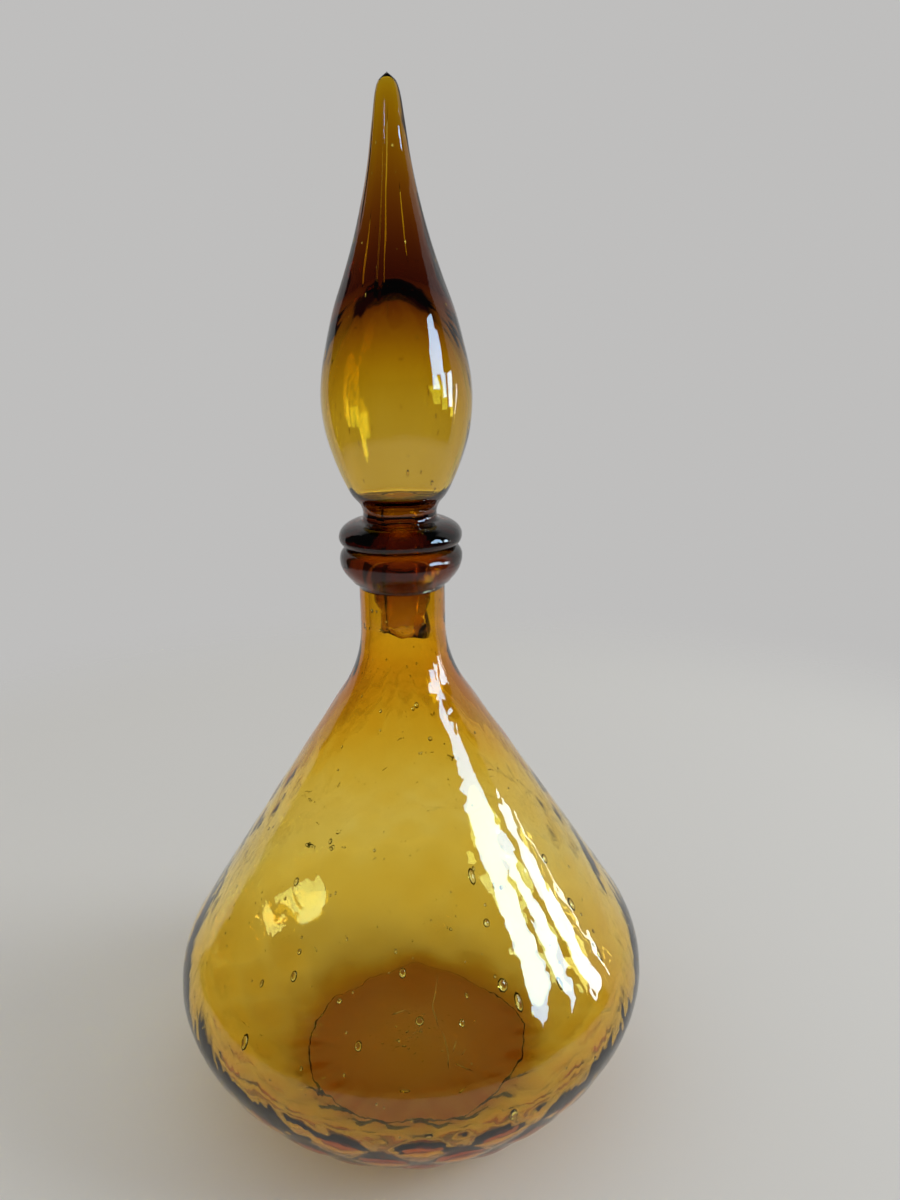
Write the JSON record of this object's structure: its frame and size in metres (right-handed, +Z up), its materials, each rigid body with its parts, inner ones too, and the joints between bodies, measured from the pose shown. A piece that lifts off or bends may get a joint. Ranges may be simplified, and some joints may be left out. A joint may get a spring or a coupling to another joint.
{
  "type": "decanter",
  "caption": "Blown amber glass decanter with a wide conical body, short neck, applied lip ring and a loose hollow flame stopper on a solid collar.",
  "frame": {"origin": "middle of the flat base, on the surface that the bottle stands on", "axes": "+Z up along the axis that the bottle and the stopper are turned about; +X to the right of the picture and +Y away from the camera"},
  "size_m": [0.1628, 0.1628, 0.33],
  "materials": {
    "body_glass": "fire-polished blown amber glass with seeds and a faint quilted relief",
    "lip_glass": "fire-polished thick amber glass",
    "collar_glass": "fire-polished thick amber glass, nearly black",
    "flame_glass": "fire-polished amber glass, darker where it is solid",
    "peg_glass": "amber glass with a broken lower edge"
  },
  "bodies": {
    "bottle": {"bottle_body": "body_glass", "lip_ring": "lip_glass"},
    "stopper": {"stopper_collar": "collar_glass", "stopper_flame": "flame_glass", "stopper_peg": "peg_glass"}
  },
  "joints": [
    {"name": "stopper_lift", "type": "slide", "parent": "bottle", "child": "stopper", "axis": [0, 0, 1], "range_m": [0, 0.045]}
  ]
}
